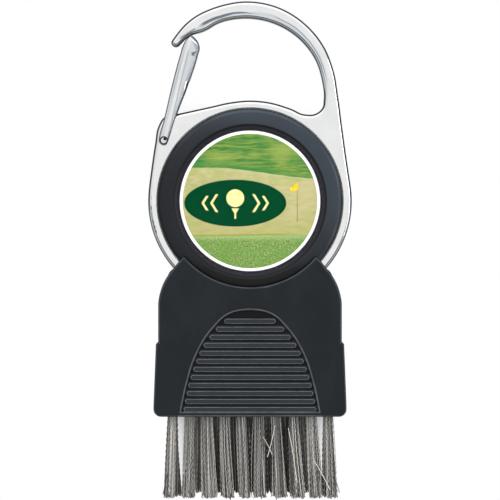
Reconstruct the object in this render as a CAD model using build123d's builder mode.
from build123d import *
import math
import os

# Club groove brush on a carabiner reel.
#
# Frame: +Z up (towards the carabiner's hook), -Y is the front, +Y the back.
# Origin: the reel's axis, on the flat back of the reel, which is also the plane
# the object lies on. All sizes in millimetres. Sketches on Plane.XZ.offset(d)
# lie at Y = -d and extrude towards the front. "Depth" is the distance -Y.

# ---------------------------------------------------------------- shared sizes
DEPTH = 11.4  # thickness of the brush head
MID = DEPTH / 2  # depth of the common middle plane
SCREW_R = 0.95
SCREW_FIT = 0.01  # radial play of a screw or pin in its hole
SCREW_CLEAR_R = 1.15  # through hole
SCREW_HEAD_HOLE_R = 2.05  # counterbore
CORD_R = 0.4

os.makedirs("parts", exist_ok=True)


def save(builder, name):
    builder.part.label = name
    export_step(builder.part, f"parts/{name}.step")


def sharp_edges(solid):
    """Edges whose two faces meet at more than 60 degrees."""
    found = ShapeList()
    for edge in solid.edges():
        middle = edge @ 0.5
        normals = [
            face.normal_at(middle)
            for face in solid.faces()
            if any(edge.is_same(other) for other in face.edges())
        ]
        if len(normals) == 2 and abs(normals[0].dot(normals[1])) < 0.5:
            found.append(edge)
    return found


def smooth_arcs(points, start_dir, end_dir):
    """Draws a chain of tangent arcs through the points, two arcs per span."""
    spots = [Vector(*point) for point in points]
    dirs = [Vector(*start_dir).normalized()]
    for i in range(1, len(spots) - 1):
        before = spots[i] - spots[i - 1]
        after = spots[i + 1] - spots[i]
        # tangent of the circle through the point and its two neighbours
        dirs.append(
            (before / before.length**2 + after / after.length**2).normalized()
        )
    dirs.append(Vector(*end_dir).normalized())
    for i in range(len(spots) - 1):
        start, end = spots[i], spots[i + 1]
        chord = end - start
        dir_sum = dirs[i] + dirs[i + 1]
        spread = 2 * (1 - dirs[i].dot(dirs[i + 1]))
        # length of the tangent legs that lets both arcs meet smoothly
        if spread < 1e-6:
            leg = chord.length / 4
        else:
            along = chord.dot(dir_sum)
            leg = (-along + math.sqrt(along**2 + spread * chord.dot(chord))) / spread
        start_leg = start + dirs[i] * leg
        end_leg = end - dirs[i + 1] * leg
        joint = (start_leg + end_leg) / 2
        TangentArc(start, joint, tangent=dirs[i])
        TangentArc(joint, end, tangent=(end_leg - start_leg).normalized())


# ---------------------------------------------------------------- carabiner
# One casting: hook, arm and reel ring. The outline is a single closed wire that
# starts at the hook's nose, runs over the top and round the ring to the hinge
# ear, and comes back along the inside of the clip loop.
FRAME_T = 4.2
FRAME_BACK = MID - FRAME_T / 2
FRAME_ROUND = 0.9
RING_R = 22.95
RING_BORE_R = 20.97
LIP_BORE_R = 19.9
LIP_T = 1.4
LIP_CLEAR_CUT = 4  # cut beside the lip, reaches past the ring's face
OUTLET_R = 1.27  # cord outlet through the bottom of the ring

PIVOT_X, PIVOT_Z = PIVOT = (-19.395, 13.61)  # gate hinge
PIN_R = 0.7
EAR_SLOT_W = 1.7
EAR_SLOT_R = 1.5
EAR_SLOT_TOP = 20.5


def ring_point(angle, side):
    """Point on the ring's rim, degrees above the X axis; side 1 is +X, -1 is -X."""
    turn = math.radians(angle)
    return (side * RING_R * math.cos(turn), RING_R * math.sin(turn))


ARM_JOIN = ring_point(7.3, 1)
RING_LEAVE = ring_point(4.0, -1)
ARM_END_DIR = (0.127, -0.992)
NOSE_TIP = (-17.62, 36.1)
NOSE_DIR = (0.55, 0.83)
HOOK_END = (-15.95, 34.98)
HOOK_END_DIR = (-0.72, -0.7)
EAR_END = (-16.43, 19.62)
EAR_END_DIR = (1.0, 0.22)
# outlines: x, z
OVER_TOP = [
    NOSE_TIP, (-13.5, 40.82), (-6.9, 44.02), (0.0, 45.0), (6.75, 43.54),
    (12.38, 40.02), (16.7, 34.8), (18.95, 29.0), (19.9, 23.4), (20.93, 15.6),
    (21.9, 8.7), ARM_JOIN,
]
EAR = [
    RING_LEAVE, (-22.22, 7.4), (-21.45, 12.6), (-20.62, 16.9), (-19.55, 18.7), EAR_END,
]
LOOP = [
    EAR_END, (-9.0, 21.26), (-4.4, 22.27), (0.0, 22.68), (4.4, 22.27),
    (9.0, 20.92), (12.4, 19.55), (14.75, 19.7), (16.3, 21.05), (16.62, 22.9),
    (16.2, 27.2), (14.8, 31.6), (11.6, 36.0), (6.9, 39.32), (0.0, 41.1),
    (-6.0, 40.42), (-11.1, 37.95), (-12.9, 37.42), (-14.4, 36.5), HOOK_END,
]
NOSE = [HOOK_END, (-17.05, 34.75), NOSE_TIP]

with BuildPart() as carabiner_frame:
    with BuildSketch(Plane.XZ.offset(FRAME_BACK)):
        with BuildLine():
            smooth_arcs(OVER_TOP, NOSE_DIR, ARM_END_DIR)
            ThreePointArc(ARM_JOIN, (0, -RING_R), RING_LEAVE)
            smooth_arcs(EAR, (0.07, 1.0), EAR_END_DIR)
            smooth_arcs(LOOP, EAR_END_DIR, HOOK_END_DIR)
            smooth_arcs(NOSE, HOOK_END_DIR, NOSE_DIR)
        make_face()
    extrude(amount=FRAME_T)
    fillet(carabiner_frame.faces().filter_by(Axis.Y).edges(), radius=FRAME_ROUND)
    # bore of the ring, with the lip that the two case halves clamp
    for depth, radius, length in (
        (0, LIP_BORE_R, DEPTH),
        (MID + LIP_T / 2, RING_BORE_R, LIP_CLEAR_CUT),
        (MID - LIP_T / 2, RING_BORE_R, -LIP_CLEAR_CUT),
    ):
        with BuildSketch(Plane.XZ.offset(depth)):
            Circle(radius)
        extrude(amount=length, mode=Mode.SUBTRACT)
    # cord outlet through the bottom of the ring
    with BuildSketch(Plane.XY.offset(-30)):
        with Locations((0, -MID)):
            Circle(OUTLET_R)
    extrude(amount=15, mode=Mode.SUBTRACT)
    # hinge pin hole, and the slot in the ear that holds the spring
    with BuildSketch(Plane.XZ):
        with Locations(PIVOT):
            Circle(PIN_R + SCREW_FIT)
    extrude(amount=DEPTH, mode=Mode.SUBTRACT)
    with BuildSketch(Plane.XZ.offset(MID - EAR_SLOT_W / 2)):
        with Locations(PIVOT):
            Circle(EAR_SLOT_R)
        with BuildLine():
            Polyline(
                (PIVOT_X - 1.3, PIVOT_Z),
                (PIVOT_X + EAR_SLOT_R, PIVOT_Z),
                (PIVOT_X + 3.1, EAR_SLOT_TOP),
                (PIVOT_X + 0.1, EAR_SLOT_TOP),
                (PIVOT_X - 1.3, PIVOT_Z),
            )
        make_face()
    extrude(amount=EAR_SLOT_W, mode=Mode.SUBTRACT)
save(carabiner_frame, "carabiner_frame")

# ---------------------------------------------------------------- gate
# A cast bar whose foot is a fork: two cheeks pass outside the ear and turn on
# the pin. A spine on the outer (-X) side closes the fork above the slot's arc.
GATE_W = 5.8
GATE_FRONT = MID + GATE_W / 2
GATE_BACK = MID - GATE_W / 2
GATE_SLOT_W = 4.4
GATE_EYE_R = 1.15
GATE_FORK_R = 9.2  # reach of the fork's slot from the pin
GATE_PIN_PLAY = 0.05
GATE_ROUND = 0.4
FLANK_ROUND = 0.35
# outlines: x, z
EYE_LEFT = (PIVOT_X - 1.12, PIVOT_Z + 0.25)
EYE_RIGHT = (PIVOT_X + 1.12, PIVOT_Z + 0.25)
GATE_TOP = (-13.25, 37.12)
GATE_LEFT = [
    EYE_LEFT, (-19.35, 18.45), (-17.55, 26.1), (-15.75, 32.85), (-15.05, 35.1),
    (-14.25, 36.42), GATE_TOP,
]
GATE_RIGHT = [
    GATE_TOP, (-12.05, 36.3), (-11.35, 34.75), (-11.75, 32.8), (-13.5, 27.23),
    (-16.31, 20.03), EYE_RIGHT,
]
GATE_EYE = [EYE_RIGHT, (PIVOT_X, PIVOT_Z - GATE_EYE_R), EYE_LEFT]
LEFT_DIR = (0.12, 1.0)
TOP_DIR = (1.0, 0.06)
RIGHT_DIR = (-0.32, -1.0)
FORK_OPENING = [
    (-17.7, 20.5), (-16.15, 26.9), (-11.5, 26.9), (-14.0, 19.0), (-17.7, 20.5),
]
# Sloping cuts on both faces: a point x, z on the upper edge line, the line's
# direction x, z, tilt in degrees, side it falls to (1 is +X, -1 is -X), start
# before the point, width, length
GATE_FACETS = [
    ((-13.5, 35.33), (-4.73, -19.8), 22, 1, 6, 6, 30),  # flank on the inner side
    ((-13.9, 36.2), (-4.6, -17.9), 13, -1, 4, 5, 34),  # shoulder on the outer side
    ((-13.35, 36.8), (1.5, -3.4), 38, 1, 4, 5, 34),  # across the tip
]
FACET_ABOVE = 0.5  # how far a cut reaches outside the face

with BuildPart() as gate:
    with BuildSketch(Plane.XZ.offset(GATE_BACK)):
        with BuildLine():
            smooth_arcs(GATE_LEFT, LEFT_DIR, TOP_DIR)
            smooth_arcs(GATE_RIGHT, TOP_DIR, RIGHT_DIR)
            smooth_arcs(GATE_EYE, RIGHT_DIR, LEFT_DIR)
        make_face()
    extrude(amount=GATE_W)
    fillet(
        gate.faces().sort_by(Axis.Y)[0].edges() + gate.faces().sort_by(Axis.Y)[-1].edges(),
        radius=GATE_ROUND,
    )
    for top, direction, tilt, side, lead, width, length in GATE_FACETS:
        drop = width * math.tan(math.radians(tilt))
        along = Vector(direction[0], 0, direction[1]).normalized()
        for depth, fall in ((GATE_FRONT, -1), (GATE_BACK, 1)):
            facet = Plane(
                origin=Vector(top[0], -depth, top[1]) - along * lead,
                x_dir=Vector(-along.Z, 0, along.X) * side,
                z_dir=along,
            )
            inward = fall * side
            with BuildSketch(facet):
                with BuildLine():
                    Polyline(
                        (0, 0),
                        (0, -inward * FACET_ABOVE),
                        (width, -inward * FACET_ABOVE),
                        (width, inward * drop),
                        (0, 0),
                    )
                make_face()
            extrude(amount=length, mode=Mode.SUBTRACT)
    # the cuts leave the flank's outer edge sharp
    fillet(sharp_edges(gate.part), radius=FLANK_ROUND)
    # fork at the foot, open on the inner side so the gate can swing in
    with BuildSketch(Plane.XZ.offset(MID - GATE_SLOT_W / 2)):
        with Locations(PIVOT):
            Circle(GATE_FORK_R)
        with BuildLine():
            Polyline(*FORK_OPENING)
        make_face()
    extrude(amount=GATE_SLOT_W, mode=Mode.SUBTRACT)
    with BuildSketch(Plane.XZ):
        with Locations(PIVOT):
            Circle(PIN_R + GATE_PIN_PLAY)
    extrude(amount=DEPTH, mode=Mode.SUBTRACT)
save(gate, "gate")

# rivet through both cheeks and the ear, with a domed head at each end
PIN_HEAD_R = 0.95
PIN_HEAD_T = 0.45
PIN_HEAD_ROUND = 0.32
PIN_HEAD_GAP = 0.02  # between a head and its cheek
with BuildPart() as gate_pin:
    with BuildSketch(Plane.XZ.offset(GATE_BACK - PIN_HEAD_GAP)):
        with Locations(PIVOT):
            Circle(PIN_R)
    extrude(amount=GATE_W + 2 * PIN_HEAD_GAP)
    for depth, way in ((GATE_FRONT + PIN_HEAD_GAP, 1), (GATE_BACK - PIN_HEAD_GAP, -1)):
        with BuildSketch(Plane.XZ.offset(depth)):
            with Locations(PIVOT):
                Circle(PIN_HEAD_R)
        extrude(amount=PIN_HEAD_T * way)
    fillet(
        gate_pin.faces().sort_by(Axis.Y)[0].edges()
        + gate_pin.faces().sort_by(Axis.Y)[-1].edges(),
        radius=PIN_HEAD_ROUND,
    )
save(gate_pin, "gate_pin")

# torsion spring on the pin, inside the slot of the ear: the rear leg lies on
# the casting, the front one pushes the gate's spine outwards
TORSION_TURNS = 2.5
TORSION_STEPS = 12  # points per turn
TORSION_R = 1.0
TORSION_SPAN = 1.25  # from the rear leg to the front leg, along Y
TORSION_WIRE_R = 0.17
# wire centre line: x, z, distance in front of the rear leg
wire_path = [
    (PIVOT_X + 1.95, PIVOT_Z + 3.2, 0),
    (PIVOT_X + 1.5, PIVOT_Z + 1.9, 0),
]
coil_steps = int(TORSION_TURNS * TORSION_STEPS)
for step in range(coil_steps + 1):
    turn = -2 * math.pi * step / TORSION_STEPS
    wire_path.append(
        (
            PIVOT_X + TORSION_R * math.cos(turn),
            PIVOT_Z + TORSION_R * math.sin(turn),
            TORSION_SPAN * step / coil_steps,
        )
    )
wire_path += [
    (PIVOT_X - 0.55, PIVOT_Z + 1.6, TORSION_SPAN),
    (PIVOT_X + 0.6, PIVOT_Z + 5.2, TORSION_SPAN),
    (-16.62, 23.1, TORSION_SPAN),
]
with BuildPart() as gate_spring:
    with BuildLine() as spring_wire:
        Spline([(x, -MID + TORSION_SPAN / 2 - ahead, z) for x, z, ahead in wire_path])
    with BuildSketch(Plane(origin=spring_wire.line @ 0, z_dir=spring_wire.line % 0)):
        Circle(TORSION_WIRE_R)
    sweep()
save(gate_spring, "gate_spring")

# ---------------------------------------------------------------- reel
# Profiles of turned pieces hold x (the radius) and y, revolved about Y.
CASE_R = 20.87
CASE_WALL_IN = 18.4
CASE_WALL_OUT = 19.85
CASE_FLOOR = 1.4
CASE_CEIL = 8.0
CASE_GAP = 0.02  # each half's gap to the middle plane, the lip and the post joint
LABEL_SEAT = 9.2
LABEL_SEAT_R = 16.02
POST_R = 2.6
POST_JOINT = MID + 1.2  # depth where the post meets the front boss
# cord passage, bored up from Z = CASE_HOLE_START: length, radius
CASE_HOLE_START = -25
CASE_CORD_HOLES = ((10, 0.95), (5.1, 1.3))
BEZEL = [
    (CASE_R, -8.7), (20.42, -9.85), (19.4, -10.32), (18.2, -10.57),
    (17.35, -10.6), (16.85, -10.42), (16.3, -9.95),
]
REAR_EDGE = [(CASE_R, -1.7), (20.4, -0.55), (19.2, 0)]
GROOVE_OUT_R = 17.4
GROOVE_IN_R = 16.8
GROOVE_DEPTH = 0.3
POST_BORE_START = 2.0
POST_SLOT_W = 0.5

# Front case: bezel with a shallow recess for the label, an outer wall that
# drops into the ring and rests on its lip, and a boss that meets the post.
with BuildPart() as reel_front_case:
    with BuildSketch(Plane.XY):
        with BuildLine():
            Polyline(
                (0, -POST_JOINT - CASE_GAP),
                (POST_R - 0.05, -POST_JOINT - CASE_GAP),
                (POST_R - 0.05, -CASE_CEIL),
                (CASE_WALL_IN, -CASE_CEIL),
                (CASE_WALL_IN, -MID - CASE_GAP),
                (CASE_WALL_OUT, -MID - CASE_GAP),
                (CASE_WALL_OUT, -MID - LIP_T / 2 - CASE_GAP),
                (CASE_R, -MID - LIP_T / 2 - CASE_GAP),
                BEZEL[0],
            )
            smooth_arcs(BEZEL, (0.0, -1.0), (-0.6, 0.8))
            Polyline(
                BEZEL[-1],
                (LABEL_SEAT_R, -9.62),
                (LABEL_SEAT_R, -LABEL_SEAT),
                (0, -LABEL_SEAT),
                (0, -POST_JOINT - CASE_GAP),
            )
        make_face()
    revolve(axis=Axis.Y)
    with Locations(Plane.XZ.offset(LABEL_SEAT)):
        CounterBoreHole(
            radius=SCREW_CLEAR_R,
            counter_bore_radius=SCREW_HEAD_HOLE_R,
            counter_bore_depth=1.3,
            depth=4,
        )
    for reach, hole_r in CASE_CORD_HOLES:
        with BuildSketch(Plane.XY.offset(CASE_HOLE_START)):
            with Locations((0, -MID)):
                Circle(hole_r)
        extrude(amount=reach, mode=Mode.SUBTRACT)
save(reel_front_case, "reel_front_case")

# Rear case: flat back, the fixed post the spool turns on, and the other half of
# the wall that clamps the ring's lip.
with BuildPart() as reel_rear_case:
    with BuildSketch(Plane.XY):
        with BuildLine():
            Polyline(
                (0, -POST_JOINT + CASE_GAP),
                (POST_R, -POST_JOINT + CASE_GAP),
                (POST_R, -CASE_FLOOR),
                (CASE_WALL_IN, -CASE_FLOOR),
                (CASE_WALL_IN, -MID + CASE_GAP),
                (CASE_WALL_OUT, -MID + CASE_GAP),
                (CASE_WALL_OUT, -MID + LIP_T / 2 + CASE_GAP),
                (CASE_R, -MID + LIP_T / 2 + CASE_GAP),
                REAR_EDGE[0],
            )
            smooth_arcs(REAR_EDGE, (0.0, 1.0), (-1.0, 0.0))
            Polyline(REAR_EDGE[-1], (0, 0), (0, -POST_JOINT + CASE_GAP))
        make_face()
    revolve(axis=Axis.Y)
    with Locations(Plane.XZ.offset(POST_JOINT - CASE_GAP)):
        Hole(radius=SCREW_R, depth=POST_JOINT - CASE_GAP - POST_BORE_START)
    # slot across one side of the post for the inner end of the power spring
    with BuildSketch(Plane.XZ.offset(POST_BORE_START)):
        with Locations((2.0, 0)):
            Rectangle(2.0, POST_SLOT_W)
    extrude(amount=MID, mode=Mode.SUBTRACT)
    for reach, hole_r in CASE_CORD_HOLES:
        with BuildSketch(Plane.XY.offset(CASE_HOLE_START)):
            with Locations((0, -MID)):
                Circle(hole_r)
        extrude(amount=reach, mode=Mode.SUBTRACT)
    # shallow ring groove that frames the flat back
    with BuildSketch(Plane.XZ):
        Circle(GROOVE_OUT_R)
        Circle(GROOVE_IN_R, mode=Mode.SUBTRACT)
    extrude(amount=GROOVE_DEPTH, mode=Mode.SUBTRACT)
save(reel_rear_case, "reel_rear_case")

# screw under the label, through the front case into the post
CASE_SCREW_TIP = 2.2
CASE_SCREW_NECK = CASE_CEIL - 0.1
CASE_SCREW_HEAD_R = 1.9
CASE_SCREW_HEAD_T = 1.2
CASE_CROSS = (2.0, 0.45)  # length and width of the driver slots
with BuildPart() as case_screw:
    with BuildSketch(Plane.XZ.offset(CASE_SCREW_TIP)):
        Circle(SCREW_R - SCREW_FIT)
    extrude(amount=CASE_SCREW_NECK - CASE_SCREW_TIP)
    with BuildSketch(Plane.XZ.offset(CASE_SCREW_NECK)):
        Circle(CASE_SCREW_HEAD_R)
    extrude(amount=CASE_SCREW_HEAD_T)
    fillet(case_screw.faces().sort_by(Axis.Y)[0].edges(), radius=0.4)
    with BuildSketch(Plane.XZ.offset(CASE_SCREW_NECK + CASE_SCREW_HEAD_T)):
        Rectangle(*CASE_CROSS)
        Rectangle(*CASE_CROSS[::-1])
    extrude(amount=-0.7, mode=Mode.SUBTRACT)
save(case_screw, "case_screw")

# spool: drum with two flanges, and a cavity at the back for the power spring
SPOOL_BORE_R = 2.66
SPOOL_FLANGE_R = 13.6
SPOOL_FRONT = 7.7
WIND_FRONT = 7.0  # the cord winds between these two depths
WIND_BACK = 4.2
DRUM_OUT_R = 10.4
DRUM_IN_R = 9.4
SPOOL_PROFILE = [
    (SPOOL_BORE_R, -SPOOL_FRONT),
    (SPOOL_FLANGE_R, -SPOOL_FRONT),
    (SPOOL_FLANGE_R, -WIND_FRONT),
    (DRUM_OUT_R, -WIND_FRONT),
    (DRUM_OUT_R, -WIND_BACK),
    (SPOOL_FLANGE_R, -WIND_BACK),
    (SPOOL_FLANGE_R, -3.4),
    (DRUM_OUT_R, -3.4),
    (DRUM_OUT_R, -1.7),
    (DRUM_IN_R, -1.7),
    (DRUM_IN_R, -WIND_FRONT),
    (4.2, -WIND_FRONT),
    (4.2, -6.45),
    (SPOOL_BORE_R, -6.45),
    (SPOOL_BORE_R, -SPOOL_FRONT),
]
with BuildPart() as spool:
    with BuildSketch(Plane.XY):
        with BuildLine():
            Polyline(*SPOOL_PROFILE)
        make_face()
    revolve(axis=Axis.Y)
    # notch that catches the outer end of the power spring
    with BuildSketch(Plane.XZ.offset(1.6)):
        with Locations((0, 9.6)):
            Rectangle(0.6, 0.9)
    extrude(amount=4.9, mode=Mode.SUBTRACT)
save(spool, "spool")

# flat power spring, one end in the post's slot and the other in the drum
SPIRAL_IN_R = 3.1
SPIRAL_PITCH = 0.72
SPIRAL_LAPS = 8.25
SPIRAL_STEPS = 24  # points per lap
SPIRAL_T = 0.18
SPIRAL_BACK = 2.2
SPIRAL_W = 4.0


def spiral(shift):
    points = []
    for step in range(int(SPIRAL_LAPS * SPIRAL_STEPS) + 1):
        turn = 2 * math.pi * step / SPIRAL_STEPS
        radius = SPIRAL_IN_R + SPIRAL_PITCH * step / SPIRAL_STEPS + shift
        points.append((radius * math.cos(turn), radius * math.sin(turn)))
    return points


with BuildPart() as spiral_spring:
    with BuildSketch(Plane.XZ.offset(SPIRAL_BACK)):
        outer = spiral(SPIRAL_T / 2)
        inner = spiral(-SPIRAL_T / 2)
        with BuildLine():
            Spline(outer)
            Line(outer[-1], inner[-1])
            Spline(inner[::-1])
            Line(inner[0], outer[0])
        make_face()
        with Locations((2.25, 0)):
            Rectangle(1.8, SPIRAL_T)
        with Locations((0, 9.4)):
            Rectangle(SPIRAL_T, 0.8)
    extrude(amount=SPIRAL_W)
save(spiral_spring, "spiral_spring")

# ---------------------------------------------------------------- cord
# The wound part as one ring, the lead to the outlet, and the run outside.
COIL_R = 12.8
COIL_GAP = 0.1  # to each flange
with BuildPart() as cord_coil:
    with BuildSketch(Plane.XZ.offset(WIND_BACK + COIL_GAP)):
        Circle(COIL_R)
        Circle(DRUM_OUT_R + 0.02, mode=Mode.SUBTRACT)
    extrude(amount=WIND_FRONT - WIND_BACK - 2 * COIL_GAP)
save(cord_coil, "cord_coil")

# the lead leaves the coil on a tangent and bends down into the outlet
LEAD_R = COIL_R + 0.45
LEAD_BEND = -17.9
LEAD_END = -19.95
lead_angle = math.acos(LEAD_R / -LEAD_BEND)
lead_start = (LEAD_R * math.sin(lead_angle), -LEAD_R * math.cos(lead_angle))
with BuildPart() as cord_lead:
    with BuildLine(Plane.XZ.offset(MID)) as lead_path:
        FilletPolyline(lead_start, (0, LEAD_BEND), (0, LEAD_END), radius=1.2)
    with BuildSketch(Plane(origin=lead_path.line @ 0, z_dir=lead_path.line % 0)):
        Circle(CORD_R)
    sweep()
save(cord_lead, "cord_lead")

SADDLE_R = 24.65  # underside of the brush head's saddle wall
RUN_TOP = LEAD_END - 0.02
FERRULE_TOP = -SADDLE_R - 0.1
FERRULE_LENGTH = 3.0
with BuildPart() as cord_run:
    with BuildSketch(Plane.XY.offset(RUN_TOP)):
        with Locations((0, -MID)):
            Circle(CORD_R)
    extrude(amount=FERRULE_TOP - FERRULE_LENGTH + 0.1 - RUN_TOP)
save(cord_run, "cord_run")

# flanged eyelet in the ring's outlet; profile is radius, z about the cord
EYELET_BORE_R = 0.62
EYELET_R = 1.25
EYELET_FLANGE_R = 1.75
EYELET_TOP = -20.0
EYELET_FLANGE_TOP = -22.98
EYELET_MOUTH = [(EYELET_FLANGE_R, -23.3), (1.2, -23.45), (EYELET_BORE_R, -23.0)]
with BuildPart() as cord_eyelet:
    with BuildSketch(Plane(origin=(0, -MID, 0), x_dir=(1, 0, 0), z_dir=(0, -1, 0))):
        with BuildLine():
            Polyline(
                (EYELET_BORE_R, EYELET_TOP),
                (EYELET_R, EYELET_TOP),
                (EYELET_R, EYELET_FLANGE_TOP),
                (EYELET_FLANGE_R, EYELET_FLANGE_TOP),
                EYELET_MOUTH[0],
            )
            smooth_arcs(EYELET_MOUTH, (-0.3, -1.0), (-0.2, 1.0))
            Line(EYELET_MOUTH[-1], (EYELET_BORE_R, EYELET_TOP))
        make_face()
    revolve(axis=Axis(origin=(0, -MID, 0), direction=(0, 0, 1)))
save(cord_eyelet, "cord_eyelet")

# crimped sleeve on the cord's end, held below the head's saddle wall
with BuildPart() as cord_ferrule:
    with BuildSketch(Plane.XY.offset(FERRULE_TOP)):
        with Locations((0, -MID)):
            Circle(1.3)
            Circle(CORD_R + 0.03, mode=Mode.SUBTRACT)
    extrude(amount=-FERRULE_LENGTH)
    # crimp groove round the middle
    with BuildSketch(Plane.XY.offset(FERRULE_TOP - FERRULE_LENGTH / 2)):
        with Locations((0, -MID)):
            Circle(1.6)
            Circle(1.12, mode=Mode.SUBTRACT)
    extrude(amount=0.45, both=True, mode=Mode.SUBTRACT)
save(cord_ferrule, "cord_ferrule")

# ---------------------------------------------------------------- label
# printed label disc, and the clear dome over it
LABEL_R = 15.9
LABEL_T = 0.3
with BuildPart() as label_disc:
    with BuildSketch(Plane.XZ.offset(LABEL_SEAT)):
        Circle(LABEL_R)
    extrude(amount=LABEL_T)
save(label_disc, "label_disc")

DOME_BASE = LABEL_SEAT + LABEL_T
DOME_PROFILE = [  # x (the radius), y
    (LABEL_R - 0.03, -DOME_BASE), (15.72, -9.85), (15.1, -10.25),
    (12.5, -10.72), (8.0, -11.02), (0, -11.2),
]
with BuildPart() as dome_lens:
    with BuildSketch(Plane.XY):
        with BuildLine():
            Polyline((0, -DOME_BASE), DOME_PROFILE[0])
            smooth_arcs(DOME_PROFILE, (0.0, -1.0), (-1.0, 0.0))
            Line(DOME_PROFILE[-1], (0, -DOME_BASE))
        make_face()
    revolve(axis=Axis.Y)
save(dome_lens, "dome_lens")

# ---------------------------------------------------------------- brush head
# Two shells meet on the middle plane. Their forked top straddles the ring, the
# bar with the bristles is keyed into a groove at the bottom.
HEAD_ARC_R = 19.3  # top edge of the front shell
REAR_ARC_R = 21.2  # top edge of the rear shell
HEAD_HALF_W = 20.6
HEAD_CORNER_X = 14.75
HEAD_SIDE = [(17.3, -15.3), (19.05, -17.75), (20.2, -20.7), (HEAD_HALF_W, -23.4)]
HEAD_BOTTOM = -48.44
HEAD_ROUND = 0.6
SKIRT_TOP = -31.75
SKIRT_HALF_W = 21.65
SKIRT_ROUND = 0.45
SHELL_WALL = 1.6
POCKET_R = 23.05
POCKET_T = 4.5
SHELL_SCREWS = [(-15.6, -26.6), (15.6, -26.6), (-15.9, -37.9), (15.9, -37.9)]

BLOCK_TOP = -41.3
SEAT_TOP = BLOCK_TOP + 0.1
SEAT_END = HEAD_BOTTOM - 1
SEAT_W = 38.5
SEAT_DEPTH = 3.9
KEY_Z = -43.25  # middle of the bar's key flange and of its groove
KEY_GROOVE = (40.0, 1.5)
KEY_GROOVE_DEPTH = 4.6
# cord hole and room for the eyelet's flange: start z, length upwards, radius
SADDLE_HOLES = ((-26, 4, 0.75), (-23.7, 3, 2.05))
BEZEL_RELIEF = [  # x (the radius), y
    (17.0, -10.75), (19.5, -10.58), (20.62, -10.08), (21.12, -8.9),
    (21.12, -7.8), (17.0, -7.8), (17.0, -10.75),
]

PANEL_DEPTH = 0.45
PANEL_BOTTOM = (15.6, -47.4)
PANEL_ARCH = [
    (0, -24.35), (4.5, -25.15), (9.0, -29.2), (12.38, -35.0), (14.35, -41.3),
    PANEL_BOTTOM,
]
RIB_PROUD = 0.2  # front ribs only; the rear ones end flush
RIB_ROOT = 0.2  # sunk below the panel
RIB_H = 1.2
RIB_ROUND = 0.24
RIB_TOP_Z = -27.0
RIB_PITCH = 1.8
# half length of each grip rib, from the top down
RIB_HALVES = [
    5.8, 7.65, 9.1, 10.4, 11.36, 12.05, 12.72, 13.33, 13.86, 14.2, 14.58, 14.9,
]


def on_arc(arc_r, x):
    """Point at x on the lower half of a circle about the reel's axis."""
    return (x, -math.sqrt(arc_r**2 - x**2))


def head_outline(arc_r):
    """The head above the skirt's end: a saddle arc on top, rounded shoulders."""
    corner = on_arc(arc_r, HEAD_CORNER_X)
    with BuildSketch() as outline:
        with BuildLine():
            ThreePointArc((0, -arc_r), on_arc(arc_r, HEAD_CORNER_X / 2), corner)
            smooth_arcs([corner] + HEAD_SIDE, (1.0, -0.75), (0.0, -1.0))
            Polyline(HEAD_SIDE[-1], (HEAD_HALF_W, HEAD_BOTTOM + 1), (0, HEAD_BOTTOM + 1))
            mirror(about=Plane.YZ)
        make_face()
    return outline.sketch


# skirt: the slightly wider lower part, flush with both faces
with BuildSketch() as skirt_outline:
    with BuildLine():
        Polyline(
            (0, SKIRT_TOP),
            (21.1, SKIRT_TOP),
            (SKIRT_HALF_W, -45.9),
            (SKIRT_HALF_W, HEAD_BOTTOM),
            (0, HEAD_BOTTOM),
        )
        mirror(about=Plane.YZ)
    make_face()
    fillet(skirt_outline.vertices().group_by(Axis.Y)[0], radius=1.7)
    fillet(skirt_outline.vertices().group_by(Axis.Y)[-1], radius=0.6)

# hollow between the saddle wall and the bristle bar
with BuildSketch() as cavity_outline:
    with BuildLine():
        ThreePointArc((0, -SADDLE_R), (9.0, -22.948), (17.0, -17.85))
        Polyline((17.0, -17.85), (18.9, -22.8), (19.0, BLOCK_TOP), (0, BLOCK_TOP))
        mirror(about=Plane.YZ)
    make_face()

# arched grip panel
with BuildSketch() as arch_outline:
    with BuildLine():
        smooth_arcs(PANEL_ARCH, (1.0, 0.0), (0.17, -1.0))
        Line(PANEL_BOTTOM, (0, PANEL_BOTTOM[1]))
        mirror(about=Plane.YZ)
    make_face()


def skirt_half(front):
    with BuildPart() as skirt:
        with BuildSketch(Plane.XZ.offset(MID if front else 0)):
            add(skirt_outline.sketch)
        extrude(amount=MID)
        outer_face = skirt.faces().sort_by(Axis.Y)[0 if front else -1]
        fillet(outer_face.edges(), radius=SKIRT_ROUND)
    return skirt.part


def grip_ribs(front):
    if front:
        root = DEPTH - PANEL_DEPTH - RIB_ROOT
        rise = PANEL_DEPTH + RIB_ROOT + RIB_PROUD
    else:
        root = PANEL_DEPTH + RIB_ROOT
        rise = -PANEL_DEPTH - RIB_ROOT
    with BuildPart() as ribs:
        for i, half in enumerate(RIB_HALVES):
            with BuildSketch(Plane.XZ.offset(root)):
                with Locations((0, RIB_TOP_Z - i * RIB_PITCH)):
                    SlotOverall(2 * half, RIB_H)
            extrude(amount=rise)
        levels = ribs.faces().filter_by(Axis.Y).group_by(Axis.Y)
        fillet(levels[0 if front else -1].edges(), radius=RIB_ROUND)
    return ribs.part


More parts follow.
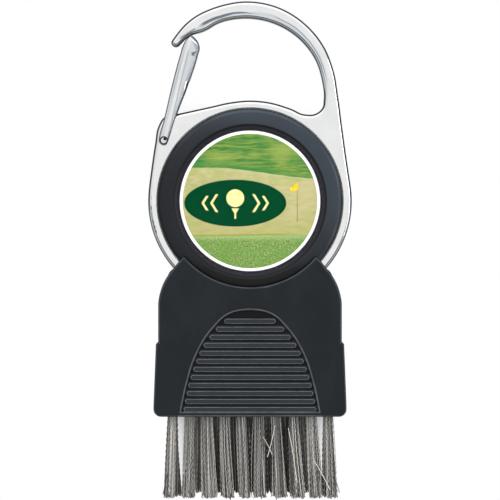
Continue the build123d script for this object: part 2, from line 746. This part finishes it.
def brush_shell(name, front, arc_r, boss_r):
    def layer(thickness):
        """Back plane of this shell's layer of the given thickness at the middle plane."""
        return Plane.XZ.offset(MID if front else MID - thickness)

    skirt = skirt_half(front)
    ribs = grip_ribs(front)
    with BuildPart() as shell:
        with BuildSketch(layer(MID)):
            add(head_outline(arc_r))
        extrude(amount=MID)
        rim = shell.faces().sort_by(Axis.Y)[0 if front else -1].edges()
        fillet(
            rim.filter_by(lambda e: (e @ 0.5).Z > HEAD_BOTTOM + 2),
            radius=HEAD_ROUND,
        )
        add(skirt)
        # hollow, bristle bar seat and its key groove
        with BuildSketch(layer(MID - SHELL_WALL)):
            add(cavity_outline.sketch)
        extrude(amount=MID - SHELL_WALL, mode=Mode.SUBTRACT)
        with BuildSketch(layer(SEAT_DEPTH)):
            with Locations((0, (SEAT_TOP + SEAT_END) / 2)):
                Rectangle(SEAT_W, SEAT_TOP - SEAT_END)
        extrude(amount=SEAT_DEPTH, mode=Mode.SUBTRACT)
        with BuildSketch(layer(KEY_GROOVE_DEPTH)):
            with Locations((0, KEY_Z)):
                Rectangle(*KEY_GROOVE)
        extrude(amount=KEY_GROOVE_DEPTH, mode=Mode.SUBTRACT)
        # pocket for the ring, and relief over the edge of the bezel
        with BuildSketch(layer(POCKET_T / 2)):
            Circle(POCKET_R)
        extrude(amount=POCKET_T / 2, mode=Mode.SUBTRACT)
        if front:
            with BuildSketch(Plane.XY):
                with BuildLine():
                    Polyline(*BEZEL_RELIEF)
                make_face()
            revolve(axis=Axis.Y, mode=Mode.SUBTRACT)
        # cord hole through the saddle wall
        for start, length, radius in SADDLE_HOLES:
            with BuildSketch(Plane.XY.offset(start)):
                with Locations((0, -MID)):
                    Circle(radius)
            extrude(amount=length, mode=Mode.SUBTRACT)
        # screw bosses, blind in front and counterbored from the back
        with BuildSketch(layer(MID - SHELL_WALL)):
            with Locations(*SHELL_SCREWS):
                Circle(boss_r)
        extrude(amount=MID - SHELL_WALL)
        if front:
            with Locations(Plane.XZ.offset(MID)):
                with Locations(*SHELL_SCREWS):
                    Hole(radius=SCREW_R, depth=3.6)
        else:
            with Locations(Plane(origin=(0, 0, 0), x_dir=(-1, 0, 0), z_dir=(0, 1, 0))):
                with Locations(*SHELL_SCREWS):
                    CounterBoreHole(
                        radius=SCREW_CLEAR_R,
                        counter_bore_radius=SCREW_HEAD_HOLE_R,
                        counter_bore_depth=1.5,
                        depth=MID,
                    )
        # sunk grip panel with its ribs, and a raised border in front
        with BuildSketch(Plane.XZ.offset(DEPTH if front else PANEL_DEPTH)):
            add(arch_outline.sketch)
        extrude(amount=-PANEL_DEPTH, mode=Mode.SUBTRACT)
        if front:
            with BuildSketch(Plane.XZ.offset(DEPTH - 0.3)):
                offset(arch_outline.sketch, amount=0.22)
                offset(arch_outline.sketch, amount=-0.12, mode=Mode.SUBTRACT)
            extrude(amount=0.3 + 0.12)
        add(ribs)
    save(shell, name)


brush_shell("brush_front_shell", front=True, arc_r=HEAD_ARC_R, boss_r=2.3)
brush_shell("brush_rear_shell", front=False, arc_r=REAR_ARC_R, boss_r=2.7)

# self-tapping screws, driven from the back
SHELL_SCREW_NECK = 1.5
SHELL_SCREW_HEAD_BACK = 0.25
SHELL_CROSS = (2.1, 0.5)  # length and width of the driver slots
with BuildPart() as shell_screws:
    with BuildSketch(Plane.XZ.offset(SHELL_SCREW_NECK)):
        with Locations(*SHELL_SCREWS):
            Circle(SCREW_R - SCREW_FIT)
    extrude(amount=7.7)
    with BuildSketch(Plane.XZ.offset(SHELL_SCREW_HEAD_BACK)):
        with Locations(*SHELL_SCREWS):
            Circle(1.95)
    extrude(amount=SHELL_SCREW_NECK - SHELL_SCREW_HEAD_BACK)
    fillet(
        shell_screws.faces().filter_by(Axis.Y).group_by(Axis.Y)[-1].edges(), radius=0.35
    )
    with BuildSketch(Plane.XZ.offset(0.2)):
        with Locations(*SHELL_SCREWS):
            Rectangle(*SHELL_CROSS)
            Rectangle(*SHELL_CROSS[::-1])
    extrude(amount=0.75, mode=Mode.SUBTRACT)
save(shell_screws, "shell_screws")

# ---------------------------------------------------------------- bristles
TUFT_PITCH = 3.89
TUFT_ROWS_APART = 3.6
TUFT_COLUMNS = 10
TUFT_HOLE_R = 1.15
TUFT_GAP = 0.03  # between a tuft and its hole
MIDDLE_TUFTS = 7  # thinner tufts between the two rows, staggered by half a pitch
MIDDLE_HOLE_R = 0.85
TUFT_HOLE_TOP = -42.9
TUFT_TOP = -44.45
TUFT_TIP = -66.6
MIDDLE_TIP = -65.9
BLOCK_BOTTOM = -48.2
BLOCK_ROUND = 0.6
KEY_T = 1.4

# drilled bar with a key flange that the shells' groove holds
with BuildPart() as bristle_block:
    with BuildSketch(Plane.XY.offset(BLOCK_BOTTOM)):
        with Locations((0, -MID)):
            RectangleRounded(38.4, 7.7, BLOCK_ROUND)
    extrude(amount=BLOCK_TOP - BLOCK_BOTTOM)
    with BuildSketch(Plane.XY.offset(KEY_Z - KEY_T / 2)):
        with Locations((0, -MID)):
            RectangleRounded(39.9, 9.1, BLOCK_ROUND)
    extrude(amount=KEY_T)
    with BuildSketch(Plane.XY.offset(BLOCK_BOTTOM)):
        with Locations((0, -MID)):
            with GridLocations(TUFT_PITCH, TUFT_ROWS_APART, TUFT_COLUMNS, 2):
                Circle(TUFT_HOLE_R)
            with GridLocations(TUFT_PITCH, 1, MIDDLE_TUFTS, 1):
                Circle(MIDDLE_HOLE_R)
    extrude(amount=TUFT_HOLE_TOP - BLOCK_BOTTOM, mode=Mode.SUBTRACT)
save(bristle_block, "bristle_block")

# each tuft is a folded bundle, set as one plain body that widens to its tip
TUFT_PROFILE = [  # radius, z
    (0, TUFT_TOP),
    (TUFT_HOLE_R - TUFT_GAP, TUFT_TOP),
    (TUFT_HOLE_R - TUFT_GAP, BLOCK_BOTTOM - 0.3),
    (1.62, -58.0),
    (1.76, TUFT_TIP),
    (0, TUFT_TIP),
    (0, TUFT_TOP),
]
for depth, row_name in (
    (MID + TUFT_ROWS_APART / 2, "brush_tufts_front"),
    (MID - TUFT_ROWS_APART / 2, "brush_tufts_rear"),
):
    with BuildPart() as tufts:
        for column in range(TUFT_COLUMNS):
            foot = (TUFT_PITCH * (column - (TUFT_COLUMNS - 1) / 2), -depth, 0)
            with BuildSketch(Plane(origin=foot, x_dir=(1, 0, 0), z_dir=(0, -1, 0))):
                with BuildLine():
                    Polyline(*TUFT_PROFILE)
                make_face()
            revolve(axis=Axis(origin=foot, direction=(0, 0, 1)))
    save(tufts, row_name)

with BuildPart() as brush_tufts_middle:
    with BuildSketch(Plane.XY.offset(TUFT_TOP)):
        with Locations((0, -MID)):
            with GridLocations(TUFT_PITCH, 1, MIDDLE_TUFTS, 1):
                Circle(MIDDLE_HOLE_R - TUFT_GAP)
    extrude(amount=MIDDLE_TIP - TUFT_TOP)
save(brush_tufts_middle, "brush_tufts_middle")

# flat wire anchors, one over the fold of each tuft
ANCHOR_T = 0.3
with BuildPart() as tuft_anchors:
    with BuildSketch(Plane.XY.offset(TUFT_TOP + 0.05)):
        with Locations((0, -MID)):
            with GridLocations(TUFT_PITCH, TUFT_ROWS_APART, TUFT_COLUMNS, 2):
                Rectangle(ANCHOR_T, 2.2)
            with GridLocations(TUFT_PITCH, 1, MIDDLE_TUFTS, 1):
                Rectangle(ANCHOR_T, 1.6)
    extrude(amount=1.4)
save(tuft_anchors, "tuft_anchors")
